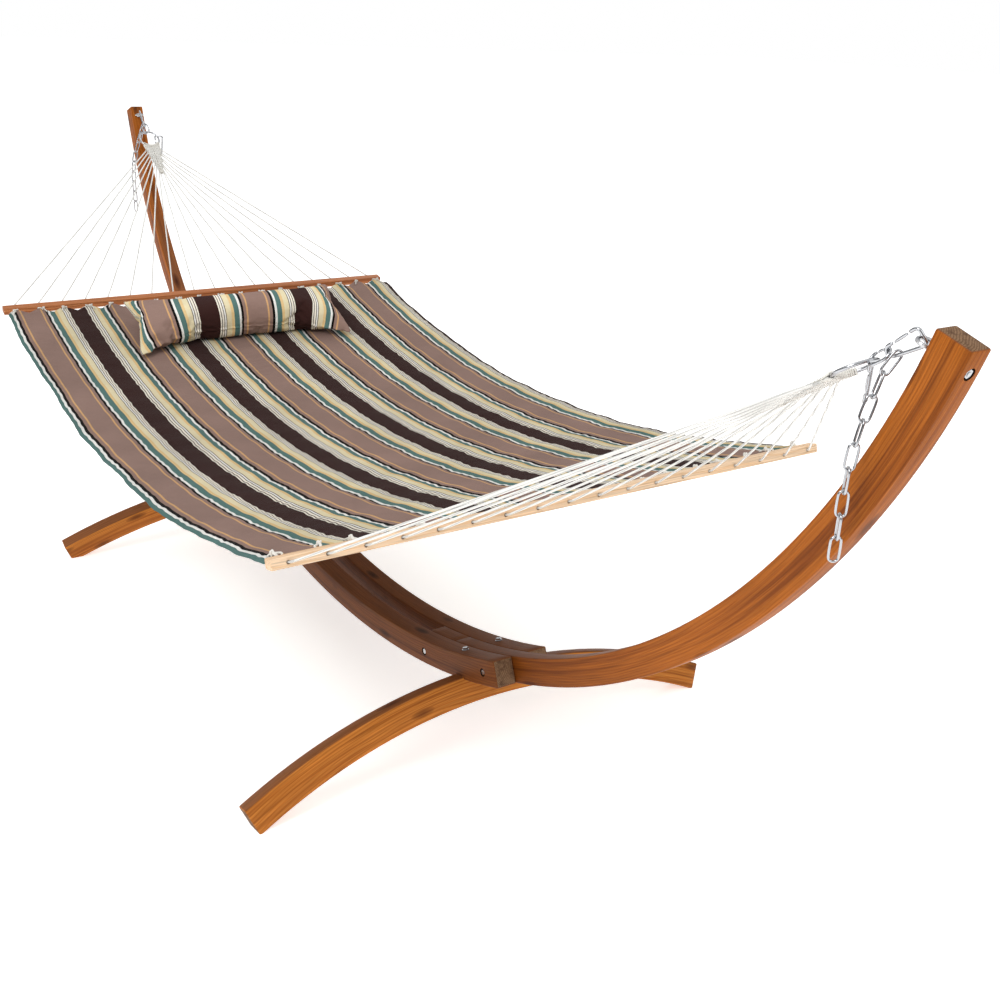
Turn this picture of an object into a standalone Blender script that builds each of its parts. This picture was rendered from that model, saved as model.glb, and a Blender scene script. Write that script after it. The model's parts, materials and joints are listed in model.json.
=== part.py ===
"""Quilted two-person hammock on a curved timber stand.

Frame: origin on the floor below the middle of the stand, +X along the hammock
towards the foot end, +Y across it, +Z up. Lengths are in metres.

The stand is two curved end beams whose tongues are clamped between two curved
side rails, standing on two arched cross feet. Each beam carries an eye bolt.
From it hang a pear carabiner, a snap link, a ring and a woven clew whose
eighteen ropes run through a spreader bar to the quilted bed.
"""
import math

import bmesh
import bpy
import numpy as np
from mathutils import Matrix, Vector

# ---------------------------------------------------------------- dimensions
CLEARANCE = 0.0004            # gap left between touching pieces

# Curved members follow one curve in the XZ plane. Its curvature is
# MID_CURVATURE at the middle and grows by CURVATURE_GROWTH per metre.
MID_CURVATURE = 0.346
CURVATURE_GROWTH = 0.139
MID_HEIGHT = 0.119
ARC_HALF = 2.463              # from the middle to the top of an end beam
MEMBER_DEPTH = 0.067
BEAM_WIDTH = 0.045
RAIL_WIDTH = 0.054
RAIL_HALF = 0.945
SPACER_START = 0.530          # arc lengths of the filler block between rails
TONGUE_START = 0.662          # arc length where an end beam's tongue begins
ARC_STEP = 0.055              # spacing of the outline points along the arc
RAIL_OFFSET = BEAM_WIDTH / 2 + CLEARANCE + RAIL_WIDTH / 2
PACK_HALF = BEAM_WIDTH / 2 + CLEARANCE + RAIL_WIDTH

# A cross foot lies in a plane square to the rails, which meets the floor at
# FOOT_X. Its heights are measured in that plane.
FOOT_X = 0.8264
FOOT_RADIUS = 1.470
FOOT_CREST = 0.181            # height of the foot's centreline at its middle
FOOT_LOWER_ARC = 0.690         # half arc lengths of its lower and upper edges,
FOOT_UPPER_ARC = 0.684         # which set the slope of the end cuts
FOOT_WIDTH = 0.044
FOOT_DEPTH = 0.073
FOOT_STEP = 0.06

SIDE_BOLT_AT = (0.585, 0.885)  # arc lengths of the horizontal bolts
FOOT_BOLT_AT = 0.765
BOLT_RADIUS = 0.004
BOLT_HOLE = 0.0045
HEAD_RADIUS = 0.0075
HEAD_HEIGHT = 0.0055
COUNTERBORE_RADIUS = 0.0105
COUNTERBORE_DEPTH = 0.009
WASHER_RADIUS = 0.0095
WASHER_THICKNESS = 0.0016

EYE_BOLT_AT = ARC_HALF - 0.0385
EYE_HOLE = 0.0096
EYE_WIRE = 0.0035
EYE_MEAN = EYE_HOLE + EYE_WIRE

CARABINER_LENGTH = 0.070      # between the wire centres at its two ends
CARABINER_WIDE = 0.0145       # half width at the wide end
CARABINER_NARROW = 0.009
CARABINER_WIRE = 0.00325
CARABINER_TURN = math.radians(14)
LINK_LENGTH = 0.042           # snap link
LINK_HALF = 0.0125
LINK_WIRE = 0.00275
LINK_TURN = math.radians(-44)
RING_RADIUS = 0.0365
RING_WIRE = 0.0035
WIRE_GAP = 0.00035
GATE_GAP = 0.0017

CHAIN_WIRE = 0.0024
CHAIN_LENGTH = 0.0438         # between the wire centres at a chain link's ends
CHAIN_HALF = 0.0084

HOLE_COUNT = 18
BAR_LENGTH = 1.41
HOLE_SPREAD = 1.34
BAR_THICKNESS = 0.030         # along the ropes
BAR_HEIGHT = 0.022
BAR_LEAN = math.radians(15)
BAR_HOLE = 0.0045
FOOT_BAR = (1.102, 0.800)     # x, z of the bar at the foot end
HEAD_BAR = (-1.204, 0.763)
ROPE_RADIUS = 0.0024
CLEW_LENGTH = 0.130
CLEW_HALF = 0.031
CLEW_TIP = 0.007
CLEW_THICKNESS = 0.009

SLING_HALF = 0.700
SLING_LOW = (-0.106, 0.608)   # x, z of the lowest point of the bed
SLING_CURVE = 0.1325
SLING_THICKNESS = 0.008
HEM_GAP = 0.026               # from a bar's centre to the bed's hem
PILLOW_HALF = 0.378
PILLOW_SHIFT = 0.012
PILLOW_HALF_DEPTH = 0.130
PILLOW_HALF_HEIGHT = 0.065
PILLOW_FROM_HEM = 0.275

ENDS = (("foot", 1, FOOT_BAR), ("head", -1, HEAD_BAR))

# ------------------------------------------------------------------ materials
COLOURS = {
    "stained_larch": ((0.36, 0.125, 0.035), 0.45, 0.0),
    "pale_pine": ((0.62, 0.36, 0.17), 0.5, 0.0),
    "reddish_pine": ((0.42, 0.16, 0.06), 0.5, 0.0),
    "zinc_steel": ((0.70, 0.71, 0.73), 0.22, 1.0),
    "rope": ((0.80, 0.79, 0.75), 0.85, 0.0),
    "striped_fabric": ((0.32, 0.19, 0.16), 0.9, 0.0),
}


def make_material(name):
    colour, roughness, metallic = COLOURS[name]
    material = bpy.data.materials.new(name)
    material.use_nodes = True
    shader = material.node_tree.nodes["Principled BSDF"]
    shader.inputs["Base Color"].default_value = (*colour, 1.0)
    shader.inputs["Roughness"].default_value = roughness
    shader.inputs["Metallic"].default_value = metallic
    return material


def clear_scene():
    for existing in list(bpy.data.objects):
        bpy.data.objects.remove(existing, do_unlink=True)


clear_scene()
MATERIALS = {name: make_material(name) for name in COLOURS}
PARTS = bpy.data.collections.new("hammock_on_stand")
CUTTERS = bpy.data.collections.new("cutters")
bpy.context.scene.collection.children.link(PARTS)
bpy.context.scene.collection.children.link(CUTTERS)


# -------------------------------------------------------------------- helpers
def adopt(piece, name, material):
    """Name a piece, give it its material and file it with the parts."""
    for collection in list(piece.users_collection):
        collection.objects.unlink(piece)
    PARTS.objects.link(piece)
    piece.name = name
    piece.data.name = name
    piece.data.materials.clear()
    piece.data.materials.append(MATERIALS[material])
    return piece


def as_helper(piece, name):
    """File an object as a cutter or as material for a union."""
    for collection in list(piece.users_collection):
        collection.objects.unlink(piece)
    CUTTERS.objects.link(piece)
    piece.name = name
    piece.hide_render = True
    piece.display_type = "WIRE"
    return piece


def boolean(piece, other, operation):
    modifier = piece.modifiers.new(operation.lower(), "BOOLEAN")
    modifier.operation = operation
    modifier.object = other
    modifier.solver = "EXACT"


def new_curve(name, points, cyclic=False):
    """A POLY curve object through 3-D points."""
    data = bpy.data.curves.new(name, "CURVE")
    data.dimensions = "3D"
    spline = data.splines.new("POLY")
    spline.points.add(len(points) - 1)
    for slot, point in zip(spline.points, points):
        slot.co = (*point, 1.0)
    spline.use_cyclic_u = cyclic
    piece = bpy.data.objects.new(name, data)
    bpy.context.scene.collection.objects.link(piece)
    return piece


def wire(name, points, radius, cyclic=False, resolution=2):
    """A round wire along points, with filled ends."""
    piece = new_curve(name, points, cyclic)
    piece.data.bevel_depth = radius
    piece.data.bevel_resolution = resolution
    piece.data.use_fill_caps = not cyclic
    return piece


def to_mesh(curve):
    """Turn a curve into a closed mesh object at the same place."""
    bpy.context.view_layer.update()
    graph = bpy.context.evaluated_depsgraph_get()
    data = bpy.data.meshes.new_from_object(curve.evaluated_get(graph))
    work = bmesh.new()
    work.from_mesh(data)
    bmesh.ops.remove_doubles(work, verts=work.verts, dist=0.00002)
    work.to_mesh(data)
    work.free()
    piece = bpy.data.objects.new(curve.name + "_mesh", data)
    piece.matrix_world = curve.matrix_world
    bpy.context.scene.collection.objects.link(piece)
    bpy.data.objects.remove(curve, do_unlink=True)
    return piece


def side_outline(name, outline, thickness, y_centre=0.0):
    """A flat solid: an outline of (x, z) points, thick along Y."""
    data = bpy.data.curves.new(name, "CURVE")
    data.dimensions = "2D"
    data.fill_mode = "BOTH"
    data.extrude = thickness / 2
    spline = data.splines.new("POLY")
    spline.points.add(len(outline) - 1)
    for slot, (x, z) in zip(spline.points, outline):
        slot.co = (x, z, 0.0, 1.0)
    spline.use_cyclic_u = True
    piece = bpy.data.objects.new(name, data)
    bpy.context.scene.collection.objects.link(piece)
    piece.rotation_euler = (math.pi / 2, 0.0, 0.0)
    piece.location = (0.0, y_centre, 0.0)
    return to_mesh(piece)


def rod(name, start, end, radius, sides=12):
    """A cylinder from start to end."""
    start, end = Vector(start), Vector(end)
    bpy.ops.mesh.primitive_cylinder_add(vertices=sides, radius=radius,
                                        depth=(end - start).length)
    piece = bpy.context.object
    piece.name = name
    piece.location = (start + end) / 2
    piece.rotation_mode = "QUATERNION"
    piece.rotation_quaternion = (end - start).to_track_quat("Z", "Y")
    return piece


# ----------------------------------------------------------- the stand's curve
def curve_angle(s):
    return MID_CURVATURE * s + CURVATURE_GROWTH * s * s / 2


def curve_point(s, offset=0.0, side=1):
    """(x, z) at arc length s, moved by offset towards the outer, lower side."""
    reach = abs(s)
    steps = max(4, int(reach / 0.02))
    x = 0.0
    z = MID_HEIGHT
    for i in range(steps):
        angle = curve_angle((i + 0.5) * reach / steps)
        x += math.cos(angle) * reach / steps
        z += math.sin(angle) * reach / steps
    angle = curve_angle(reach)
    x += math.sin(angle) * offset
    z -= math.cos(angle) * offset
    return (math.copysign(x, s) * side if s else 0.0, z)


def outward(s, side):
    """Unit vector out of the convex face at arc length s."""
    angle = curve_angle(s)
    return Vector((side * math.sin(angle), 0.0, -math.cos(angle)))


def curved_outline(start, end, inner, outer, side=1):
    """Closed outline of a curved member between two arc lengths."""
    count = max(2, round(abs(end - start) / ARC_STEP))
    steps = [start + (end - start) * i / count for i in range(count + 1)]
    lower = [curve_point(s, outer, side) for s in steps]
    upper = [curve_point(s, inner, side) for s in reversed(steps)]
    return lower + upper


def curved_member(name, start, end, width, y_centre, side=1):
    half = MEMBER_DEPTH / 2
    outline = curved_outline(start, end, -half, half, side)
    return adopt(side_outline(name, outline, width, y_centre), name, "stained_larch")


def curve_place(s, side, y=0.0, offset=0.0):
    x, z = curve_point(s, offset, side)
    return Vector((x, y, z))


# ------------------------------------------------------------------ fasteners
def bolt_cutter(name, start, end, bores):
    """Clearance hole from start to end, widened at each end named in bores."""
    start, end = Vector(start), Vector(end)
    along = (end - start).normalized()
    cutter = rod(name, start - along * 0.02, end + along * 0.02, BOLT_HOLE)
    for at_end in bores:
        face = end if at_end else start
        inwards = -along if at_end else along
        wide = rod(name + "_bore", face - inwards * 0.02,
                   face + inwards * COUNTERBORE_DEPTH, COUNTERBORE_RADIUS, 16)
        boolean(cutter, as_helper(wide, wide.name), "UNION")
    return as_helper(cutter, name)


def bolt(name, start, end, sunk_start, sunk_end):
    """Hexagon bolt with its washers and nut, its length from start to end.

    start and end are points on the timber's faces; a sunk end sits in a
    counterbore, and the other stands on the face.
    """
    start, end = Vector(start), Vector(end)
    along = (end - start).normalized()
    seats = []
    for point, inwards, sunk in ((start, along, sunk_start), (end, -along, sunk_end)):
        depth = COUNTERBORE_DEPTH if sunk else 0.0
        seats.append((point + inwards * (depth - CLEARANCE), inwards))
    piece = rod(name, seats[0][0], seats[1][0], BOLT_RADIUS, 10)
    for seat, inwards in seats:
        washer = rod(name + "_washer", seat - inwards * WASHER_THICKNESS, seat,
                     WASHER_RADIUS, 12)
        head = rod(name + "_hexagon", seat - inwards * (WASHER_THICKNESS + HEAD_HEIGHT),
                   seat - inwards * WASHER_THICKNESS / 2, HEAD_RADIUS, 6)
        boolean(piece, as_helper(washer, washer.name), "UNION")
        boolean(piece, as_helper(head, head.name), "UNION")
    return adopt(piece, name, "zinc_steel")


# ---------------------------------------------------------------------- stand
def build_stand():
    """Rails, beams, spacers, feet and the bolts through them."""
    front_rail = curved_member("front_rail", -RAIL_HALF, RAIL_HALF, RAIL_WIDTH,
                               -RAIL_OFFSET)
    back_rail = curved_member("back_rail", -RAIL_HALF, RAIL_HALF, RAIL_WIDTH,
                              RAIL_OFFSET)
    for end, side, _bar in ENDS:
        beam = curved_member(end + "_end_beam", TONGUE_START, ARC_HALF, BEAM_WIDTH,
                             0.0, side)
        spacer = curved_member(end + "_end_spacer", SPACER_START,
                               TONGUE_START - CLEARANCE, BEAM_WIDTH, 0.0, side)
        foot = build_foot(end, side)
        for number, s in enumerate(SIDE_BOLT_AT, 1):
            front = curve_place(s, side, -PACK_HALF)
            back = curve_place(s, side, PACK_HALF)
            cutter = bolt_cutter(f"{end}_side_bore_{number}", front, back, (False, True))
            filler = spacer if s < TONGUE_START else beam
            for timber in (front_rail, back_rail, filler):
                boolean(timber, cutter, "DIFFERENCE")
            bolt(f"{end}_side_bolt_{number}", front, back, True, True)
        for place, rail, y in (("front", front_rail, -RAIL_OFFSET),
                               ("back", back_rail, RAIL_OFFSET)):
            top = curve_place(FOOT_BOLT_AT, side, y, -MEMBER_DEPTH / 2)
            out = outward(FOOT_BOLT_AT, side)
            low = top + out * foot_bolt_reach(y)
            cutter = bolt_cutter(f"{end}_{place}_foot_bore", low, top, (False,))
            boolean(rail, cutter, "DIFFERENCE")
            boolean(foot, cutter, "DIFFERENCE")
            bolt(f"{end}_{place}_foot_bolt", low, top, True, False)
        build_eye_bolt(end, side, beam)


def foot_bolt_reach(y):
    """Length of a foot bolt's hole from the rail's top to the foot's underside."""
    inner_radius = FOOT_RADIUS - FOOT_DEPTH / 2
    underside = FOOT_CREST - FOOT_RADIUS + math.sqrt(inner_radius ** 2 - y ** 2)
    axis_height = curve_point(FOOT_BOLT_AT)[1] / math.cos(curve_angle(FOOT_BOLT_AT))
    return axis_height + MEMBER_DEPTH / 2 - underside


def build_foot(end, side):
    """An arched cross foot, square to the rails and cut flat on the floor."""
    count = round(2 * FOOT_LOWER_ARC / FOOT_STEP)
    shares = [-1 + 2 * i / count for i in range(count + 1)]
    centre_z = FOOT_CREST - FOOT_RADIUS
    outline = []
    for edge, arc, run in ((-FOOT_DEPTH / 2, FOOT_LOWER_ARC, shares),
                           (FOOT_DEPTH / 2, FOOT_UPPER_ARC, shares[::-1])):
        radius = FOOT_RADIUS + edge
        for share in run:
            angle = share * arc / FOOT_RADIUS
            outline.append((radius * math.sin(angle), centre_z + radius * math.cos(angle)))
    foot = side_outline(end + "_cross_foot", outline, FOOT_WIDTH)
    foot.data.transform(Matrix.Rotation(math.pi / 2, 4, "Y"))
    foot.location = (side * FOOT_X, 0.0, 0.0)
    foot.rotation_euler = (math.pi / 2, 0.0, math.pi / 2)
    foot.data.transform(Matrix.Rotation(-math.pi / 2, 4, "Y"))
    bpy.context.view_layer.update()
    stand = Matrix.Translation((side * FOOT_X, 0.0, 0.0))
    lean = Matrix.Rotation(-side * curve_angle(FOOT_BOLT_AT), 4, "Y")
    foot.matrix_world = stand @ lean @ stand.inverted() @ foot.matrix_world
    adopt(foot, end + "_cross_foot", "stained_larch")
    housing_low = MEMBER_DEPTH / 2 + CLEARANCE
    housing = side_outline(end + "_housing", curved_outline(
        SPACER_START, RAIL_HALF, -0.05, housing_low, side), 2 * (PACK_HALF + CLEARANCE))
    boolean(foot, as_helper(housing, end + "_housing"), "DIFFERENCE")
    bpy.ops.mesh.primitive_cube_add(size=1.0)
    floor = bpy.context.object
    floor.data.transform(Matrix.Diagonal((0.2, 2.0, 0.1, 1.0)))
    floor.location = (side * FOOT_X, 0.0, -0.05)
    boolean(foot, as_helper(floor, end + "_floor_cut"), "DIFFERENCE")
    return foot


def eye_centre(side):
    face = curve_place(EYE_BOLT_AT, side, 0.0, -MEMBER_DEPTH / 2)
    return face - outward(EYE_BOLT_AT, side) * (EYE_MEAN + EYE_WIRE + 0.0005)


def build_eye_bolt(end, side, beam):
    """Eye bolt through the top of a beam, its nut in a counterbore outside."""
    out = outward(EYE_BOLT_AT, side)
    centre = eye_centre(side)
    outer = curve_place(EYE_BOLT_AT, side, 0.0, MEMBER_DEPTH / 2)
    inner = curve_place(EYE_BOLT_AT, side, 0.0, -MEMBER_DEPTH / 2)
    boolean(beam, bolt_cutter(end + "_eye_bore", inner, outer, (True,)), "DIFFERENCE")
    across = Vector((0.0, 1.0, 0.0))
    loop = [centre + EYE_MEAN * (math.cos(a) * out + math.sin(a) * across)
            for a in (2 * math.pi * i / 24 for i in range(24))]
    ring = to_mesh(wire(end + "_eye", loop, EYE_WIRE, True))
    shank = rod(end + "_shank", centre + out * EYE_MEAN, outer - out * 0.0005,
                BOLT_RADIUS, 12)
    boolean(ring, as_helper(shank, end + "_shank"), "UNION")
    adopt(ring, end + "_eye_bolt", "zinc_steel")
    seat = outer - out * (COUNTERBORE_DEPTH - CLEARANCE)
    nut = rod(end + "_nut", seat, seat + out * (HEAD_HEIGHT + WASHER_THICKNESS),
              HEAD_RADIUS + 0.0005, 6)
    washer = rod(end + "_nut_washer", seat, seat + out * WASHER_THICKNESS,
                 WASHER_RADIUS, 16)
    boolean(nut, as_helper(washer, washer.name), "UNION")
    hole = rod(end + "_nut_hole", seat - out * 0.01, seat + out * 0.02,
               BOLT_RADIUS + 0.0003, 12)
    boolean(nut, as_helper(hole, hole.name), "DIFFERENCE")
    adopt(nut, end + "_eye_bolt_nut", "zinc_steel")


# ------------------------------------------------------------ hanging hardware
class LocalFrame:
    """A plane with its origin, a long direction and a cross direction."""

    def __init__(self, origin, along, cross):
        self.origin = Vector(origin)
        self.along = Vector(along).normalized()
        self.cross = Vector(cross).normalized()

    def place(self, s, w):
        return self.origin + self.along * s + self.cross * w


def pull_direction(side, bar):
    tip = eye_tip(side)
    return (Vector((bar[0], 0.0, bar[1])) - tip).normalized()


def eye_tip(side):
    """Centre of the eye's wire at the point farthest from the beam."""
    return eye_centre(side) - outward(EYE_BOLT_AT, side) * EYE_MEAN


def turned_cross(along, side, turn):
    """Cross direction at an angle about the pull, measured from the XZ plane."""
    downwards = Vector((-along.z * side, 0.0, along.x * side))
    return math.cos(turn) * downwards + math.sin(turn) * Vector((0.0, 1.0, 0.0))


def pear_points(length, wide, narrow):
    """Outline of a pear carabiner: a flat wide end and a round narrow end."""
    corner = 0.007
    points = []
    for i in range(5):
        a = math.pi / 2 * (1 + i / 4)
        points.append((corner + corner * math.cos(a), wide - corner + corner * math.sin(a)))
    points += [(s, -w) for s, w in reversed(points)]
    for i in range(9):
        a = -math.pi / 2 + math.pi * i / 8
        points.append((length - narrow + narrow * math.cos(a), narrow * math.sin(a)))
    return points


def stadium_points(length, half, arc_steps):
    """Outline of a straight-sided oval."""
    points = []
    for centre, start in ((length - half, -math.pi / 2), (half, math.pi / 2)):
        for i in range(arc_steps + 1):
            a = start + math.pi * i / arc_steps
            points.append((centre + half * math.cos(a), half * math.sin(a)))
    return points


def cut_gate(points, low, high):
    """Open an outline on its +w side between two stations, and return the
    open run of points and the two ends of the gate."""
    count = len(points)
    first = next(i for i in range(count)
                 if points[i][1] > 0 and points[i - 1][0] > high >= points[i][0]
                 or points[i][1] > 0 and points[i - 1][0] >= high > points[i][0])
    ring = [points[(first + i) % count] for i in range(count)]
    before = points[first - 1]

    def on_side(station):
        share = (station - before[0]) / (ring[0][0] - before[0])
        return (station, before[1] + share * (ring[0][1] - before[1]))

    body = [on_side(low)] + [p for p in ring if not (p[1] > 0 and low < p[0] < high)]
    return body + [on_side(high)], on_side(low), on_side(high)


def dense(points):
    """A closed run of points, filled in to about half a millimetre apart."""
    filled = []
    for here, after in zip(points, points[1:] + points[:1]):
        count = max(1, int((after - here).length / 0.0005))
        filled += [here.lerp(after, i / count) for i in range(count)]
    return np.array(filled)


def settle(frame, outline, other, distance):
    """Lift a wire loop back along its length until it clears another loop."""
    fixed = dense(other)
    while True:
        own = dense([frame.place(*p) for p in outline])
        gaps = np.linalg.norm(own[:, None, :] - fixed[None, :, :], axis=2)
        if gaps.min() >= distance:
            return
        frame.origin -= frame.along * 0.0001


def clip(name, frame, points, radius, low, high):
    """A spring clip: a bent wire body and its straight gate."""
    body, nose, hinge = cut_gate(points, low, high)
    adopt(to_mesh(wire(name, [frame.place(*p) for p in body], radius)), name,
          "zinc_steel")
    run = [frame.place(nose[0] + GATE_GAP, nose[1] - GATE_GAP / 4),
           frame.place(hinge[0] - GATE_GAP, hinge[1] - GATE_GAP / 4)]
    adopt(to_mesh(wire(name + "_gate", run, radius * 0.85, resolution=2)),
          name + "_gate", "zinc_steel")


def build_hardware(end, side, bar):
    """Carabiner, snap link, ring and spare carabiner at one end."""
    along = pull_direction(side, bar)
    origin = eye_tip(side) - along * (EYE_WIRE + CARABINER_WIRE + WIRE_GAP)
    main = LocalFrame(origin, along, turned_cross(along, side, CARABINER_TURN))
    pear = pear_points(CARABINER_LENGTH, CARABINER_WIDE, CARABINER_NARROW)
    upper = [(s, -w) for s, w in pear][::-1]
    main.cross = -main.cross
    clip(end + "_carabiner", main, [(s, w) for s, w in upper], CARABINER_WIRE,
         0.018, 0.052)
    main.cross = -main.cross

    link_start = CARABINER_LENGTH - CARABINER_WIRE - LINK_WIRE - WIRE_GAP
    link = LocalFrame(main.place(link_start, 0.0), along,
                      -turned_cross(along, side, LINK_TURN))
    clip(end + "_snap_link", link, stadium_points(LINK_LENGTH, LINK_HALF, 8),
         LINK_WIRE, 0.0125, 0.0295)

    ring_at = link_start + LINK_LENGTH - LINK_WIRE - RING_WIRE - WIRE_GAP + RING_RADIUS
    ring = LocalFrame(main.place(ring_at, 0.0), along, (0.0, 1.0, 0.0))
    loop = [ring.place(RING_RADIUS * math.cos(a), RING_RADIUS * math.sin(a))
            for a in (2 * math.pi * i / 32 for i in range(32))]
    adopt(to_mesh(wire(end + "_ring", loop, RING_WIRE, True)), end + "_ring",
          "zinc_steel")

    turn = math.radians(60)
    spare = LocalFrame(ring.place(0.0, RING_RADIUS), (0.0, 0.0, -1.0),
                       (side * math.cos(turn), -math.sin(turn), 0.0))
    settle(spare, pear, loop, RING_WIRE + CARABINER_WIRE + WIRE_GAP)
    clip(end + "_spare_carabiner", spare, upper, CARABINER_WIRE, 0.018, 0.052)
    build_chain(end, side, main, [main.place(*p) for p in pear])
    return ring


def chain_steps(side):
    """Direction and cross direction of each chain link, top to bottom."""
    lean = [math.radians(d) for d in (28, 21, 20, 14, 7, 2, 0, 0, 0)]
    facing = Vector((side * 0.574, 0.819, 0.0))
    edge = Vector((side * 0.819, -0.574, 0.0))
    steps = []
    for i, angle in enumerate(lean):
        sideways = -0.011 * side if i == 0 else 0.0
        down = Vector((sideways / CHAIN_LENGTH, -math.sin(angle), -math.cos(angle)))
        down.normalize()
        wide = Vector((side * 0.342, 0.940, 0.0)) if i == 0 else (edge if i % 2 else facing)
        wide = (wide - down * wide.dot(down)).normalized()
        steps.append((down, wide))
    return steps


def build_chain(end, side, main, carabiner):
    """The loose tail of chain, hooked over the carabiner's lower side."""
    outline = stadium_points(CHAIN_LENGTH, CHAIN_HALF, 6)
    hook = main.place(0.055, 0.0095)
    other, other_radius = carabiner, CARABINER_WIRE
    for number, (down, wide) in enumerate(chain_steps(side), 1):
        frame = LocalFrame(hook - down * 0.004, down, wide)
        settle(frame, outline, other, other_radius + CHAIN_WIRE + WIRE_GAP)
        points = [frame.place(*p) for p in outline]
        name = f"{end}_chain_link_{number}"
        adopt(to_mesh(wire(name, points, CHAIN_WIRE, True, 1)), name, "zinc_steel")
        hook = frame.place(CHAIN_LENGTH, 0.0)
        other, other_radius = points, CHAIN_WIRE


# ----------------------------------------------------------------- hammock bed
def hole_positions():
    spacing = HOLE_SPREAD / (HOLE_COUNT - 1)
    return [-HOLE_SPREAD / 2 + spacing * i for i in range(HOLE_COUNT)]


def bar_lean(side):
    """The direction from the rope face of a bar to its bed face."""
    return Vector((-side * math.cos(BAR_LEAN), 0.0, -math.sin(BAR_LEAN)))


def build_bar(end, side, bar):
    """A spreader bar, leaning with the bed's slope, with its rope holes."""
    bpy.ops.mesh.primitive_cube_add(size=1.0)
    piece = bpy.context.object
    piece.data.transform(Matrix.Diagonal((BAR_THICKNESS, BAR_LENGTH, BAR_HEIGHT, 1.0)))
    piece.location = (bar[0], 0.0, bar[1])
    lean = bar_lean(side)
    piece.rotation_euler = (0.0, math.atan2(-lean.z, lean.x), 0.0)
    bevel = piece.modifiers.new("edges", "BEVEL")
    bevel.width = 0.003
    bevel.segments = 2
    centre = Vector((bar[0], 0.0, bar[1]))
    for number, y in enumerate(hole_positions(), 1):
        middle = centre + Vector((0.0, y, 0.0))
        hole = rod(f"{end}_bar_hole_{number}", middle - lean * 0.03,
                   middle + lean * 0.03, BAR_HOLE, 8)
        boolean(piece, as_helper(hole, hole.name), "DIFFERENCE")
    material = "pale_pine" if side > 0 else "reddish_pine"
    return adopt(piece, end + "_spreader_bar", material)


def build_clew(end, side, bar, ring):
    """The woven clew, wrapped round the ring, with its eighteen ropes."""
    start = RING_RADIUS + RING_WIRE + 0.001
    frame = ring
    outline = [(start, CLEW_HALF), (start + CLEW_LENGTH, CLEW_TIP),
               (start + CLEW_LENGTH, -CLEW_TIP), (start, -CLEW_HALF)]
    data = bpy.data.curves.new(end + "_clew_plate", "CURVE")
    data.dimensions = "2D"
    data.fill_mode = "BOTH"
    data.extrude = CLEW_THICKNESS / 2
    spline = data.splines.new("POLY")
    spline.points.add(len(outline) - 1)
    for slot, (s, w) in zip(spline.points, outline):
        slot.co = (s, w, 0.0, 1.0)
    spline.use_cyclic_u = True
    plate = bpy.data.objects.new(end + "_clew_plate", data)
    bpy.context.scene.collection.objects.link(plate)
    normal = frame.along.cross(frame.cross)
    basis = Matrix((frame.along, frame.cross, normal)).transposed().to_4x4()
    plate.matrix_world = Matrix.Translation(frame.origin) @ basis
    bpy.context.view_layer.update()
    clew = to_mesh(plate)

    half_wrap = math.asin((CLEW_HALF - 0.004) / RING_RADIUS)
    wrap = [frame.place(RING_RADIUS * math.cos(a), RING_RADIUS * math.sin(a))
            for a in (half_wrap * (-1 + 2 * i / 12) for i in range(13))]
    sleeve = to_mesh(wire(end + "_clew_sleeve", wrap, RING_WIRE + 0.0035))
    boolean(clew, as_helper(sleeve, sleeve.name), "UNION")
    centre = Vector((bar[0], 0.0, bar[1]))
    lean = bar_lean(side)
    for number, y in enumerate(hole_positions(), 1):
        rank = min(number - 1, HOLE_COUNT - number) / (HOLE_COUNT / 2 - 1)
        sign = 1.0 if y > 0 else -1.0
        leave = start + 0.012 + rank * (CLEW_LENGTH - 0.020)
        width = CLEW_HALF + (CLEW_TIP - CLEW_HALF) * (leave - start) / CLEW_LENGTH
        route = [frame.place(leave, sign * (width - 0.004)),
                 centre + Vector((0.0, y, 0.0)) - lean * (BAR_THICKNESS / 2 + 0.004),
                 centre + Vector((0.0, y, 0.0)) + lean * (BAR_THICKNESS / 2 + 0.003)]
        rope = to_mesh(wire(f"{end}_rope_{number}", route, ROPE_RADIUS, resolution=1))
        boolean(clew, as_helper(rope, rope.name), "UNION")
    hollow_wrap = [frame.place(RING_RADIUS * math.cos(a), RING_RADIUS * math.sin(a))
                   for a in (half_wrap * 1.35 * (-1 + 2 * i / 16) for i in range(17))]
    hollow = to_mesh(wire(end + "_clew_hollow", hollow_wrap, RING_WIRE + 0.0008))
    boolean(clew, as_helper(hollow, hollow.name), "DIFFERENCE")
    adopt(clew, end + "_clew_and_ropes", "rope")


def bed_height(x):
    return SLING_LOW[1] + SLING_CURVE * (x - SLING_LOW[0]) ** 2


def build_bed():
    """The quilted bed, as one curved slab between the two hems."""
    x_foot = FOOT_BAR[0] - HEM_GAP
    x_head = HEAD_BAR[0] + HEM_GAP
    count = 40
    steps = [x_head + (x_foot - x_head) * i / count for i in range(count + 1)]
    half = SLING_THICKNESS / 2
    outline = [(x, bed_height(x) - half) for x in steps]
    outline += [(x, bed_height(x) + half) for x in reversed(steps)]
    bed = side_outline("quilted_bed", outline, 2 * SLING_HALF)
    adopt(bed, "quilted_bed", "striped_fabric")


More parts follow.
